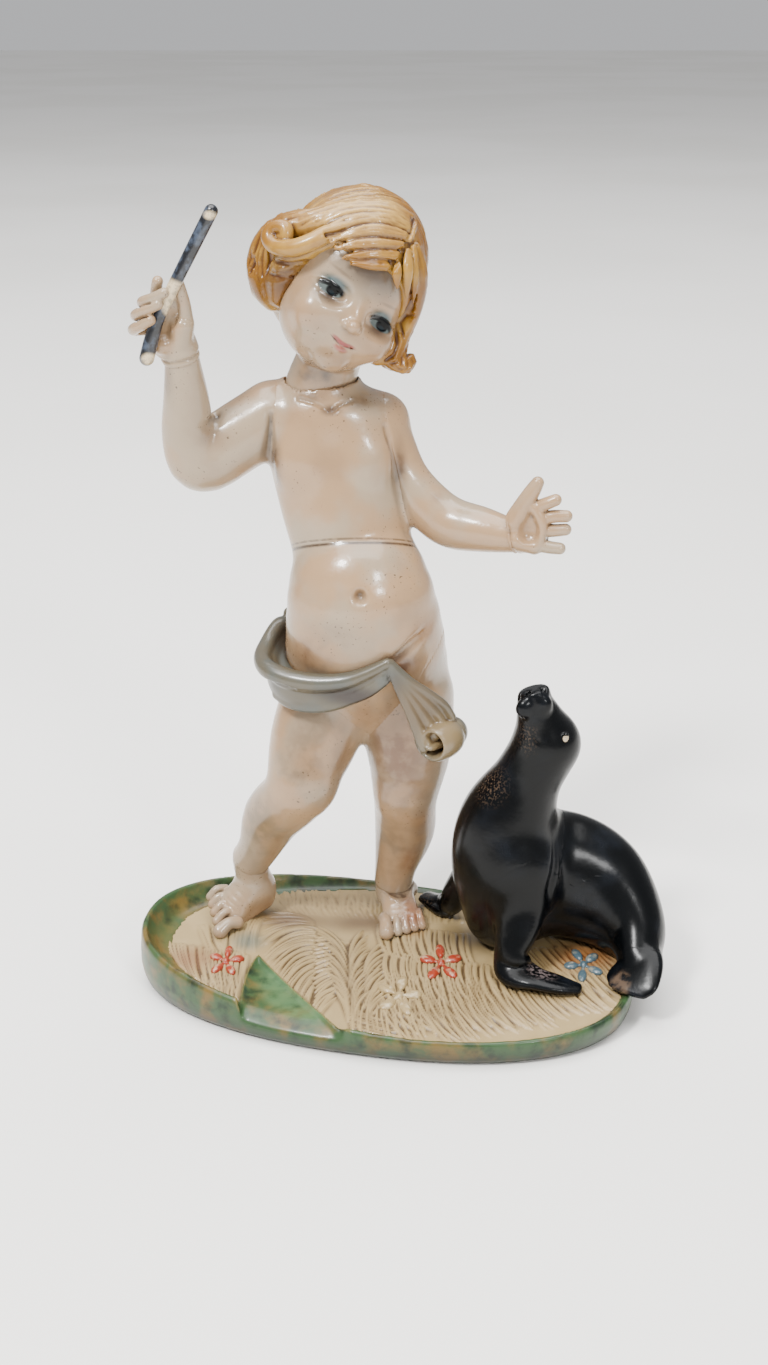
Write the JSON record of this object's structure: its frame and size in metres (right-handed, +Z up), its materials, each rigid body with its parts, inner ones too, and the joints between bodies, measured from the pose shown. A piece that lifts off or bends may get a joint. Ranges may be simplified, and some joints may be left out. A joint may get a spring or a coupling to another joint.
{
  "type": "putto figurine with seal",
  "caption": "Moulded figurine of a standing child with a draped cloth and a baton, beside a seated seal on an oval base with a leaf rim, flowers and grass.",
  "frame": {"origin": "centre of the base's flat underside", "axes": "+Z up, -Y the side that the child faces and that a shelf shows, +X towards the seal"},
  "size_m": [0.1136, 0.0666, 0.1693],
  "materials": {
    "skin_ivory": "ivory moulded plastic, glossy, with a brown wash rubbed into the creases",
    "hair_ochre": "ochre paint over the moulding, brown in the grooves",
    "seal_black": "black paint, very glossy, with dusty brown patches",
    "grass_ivory": "ivory relief with a brown wash",
    "leaf_green": "mottled green and ochre paint",
    "cloth_ivory": "greyish ivory, brown in the folds",
    "baton_black": "blue-black paint worn to ivory at its ends",
    "petal_red": "orange-red paint",
    "petal_ivory": "bare ivory",
    "petal_blue": "blue-grey paint",
    "steel_pin": "plain drawn wire"
  },
  "bodies": {
    "root": {"base_tray": "leaf_green", "grass_ground": "grass_ivory", "flower_red_left": "petal_red", "flower_red_centre": "petal_red", "flower_ivory": "petal_ivory", "flower_blue": "petal_blue", "pelvis": "skin_ivory", "chest": "skin_ivory", "left_leg": "skin_ivory", "left_foot": "skin_ivory", "left_leg_pin": "steel_pin", "left_arm": "skin_ivory", "left_hand": "skin_ivory", "right_leg": "skin_ivory", "right_foot": "skin_ivory", "right_leg_pin": "steel_pin", "right_arm": "skin_ivory", "right_hand": "skin_ivory", "baton": "baton_black", "head": "skin_ivory", "hair": "hair_ochre", "drape": "cloth_ivory", "seal_front": "seal_black", "seal_rear": "seal_black", "seal_near_flipper": "seal_black", "seal_far_flipper": "seal_black", "seal_tail_fluke": "seal_black"}
  },
  "joints": []
}
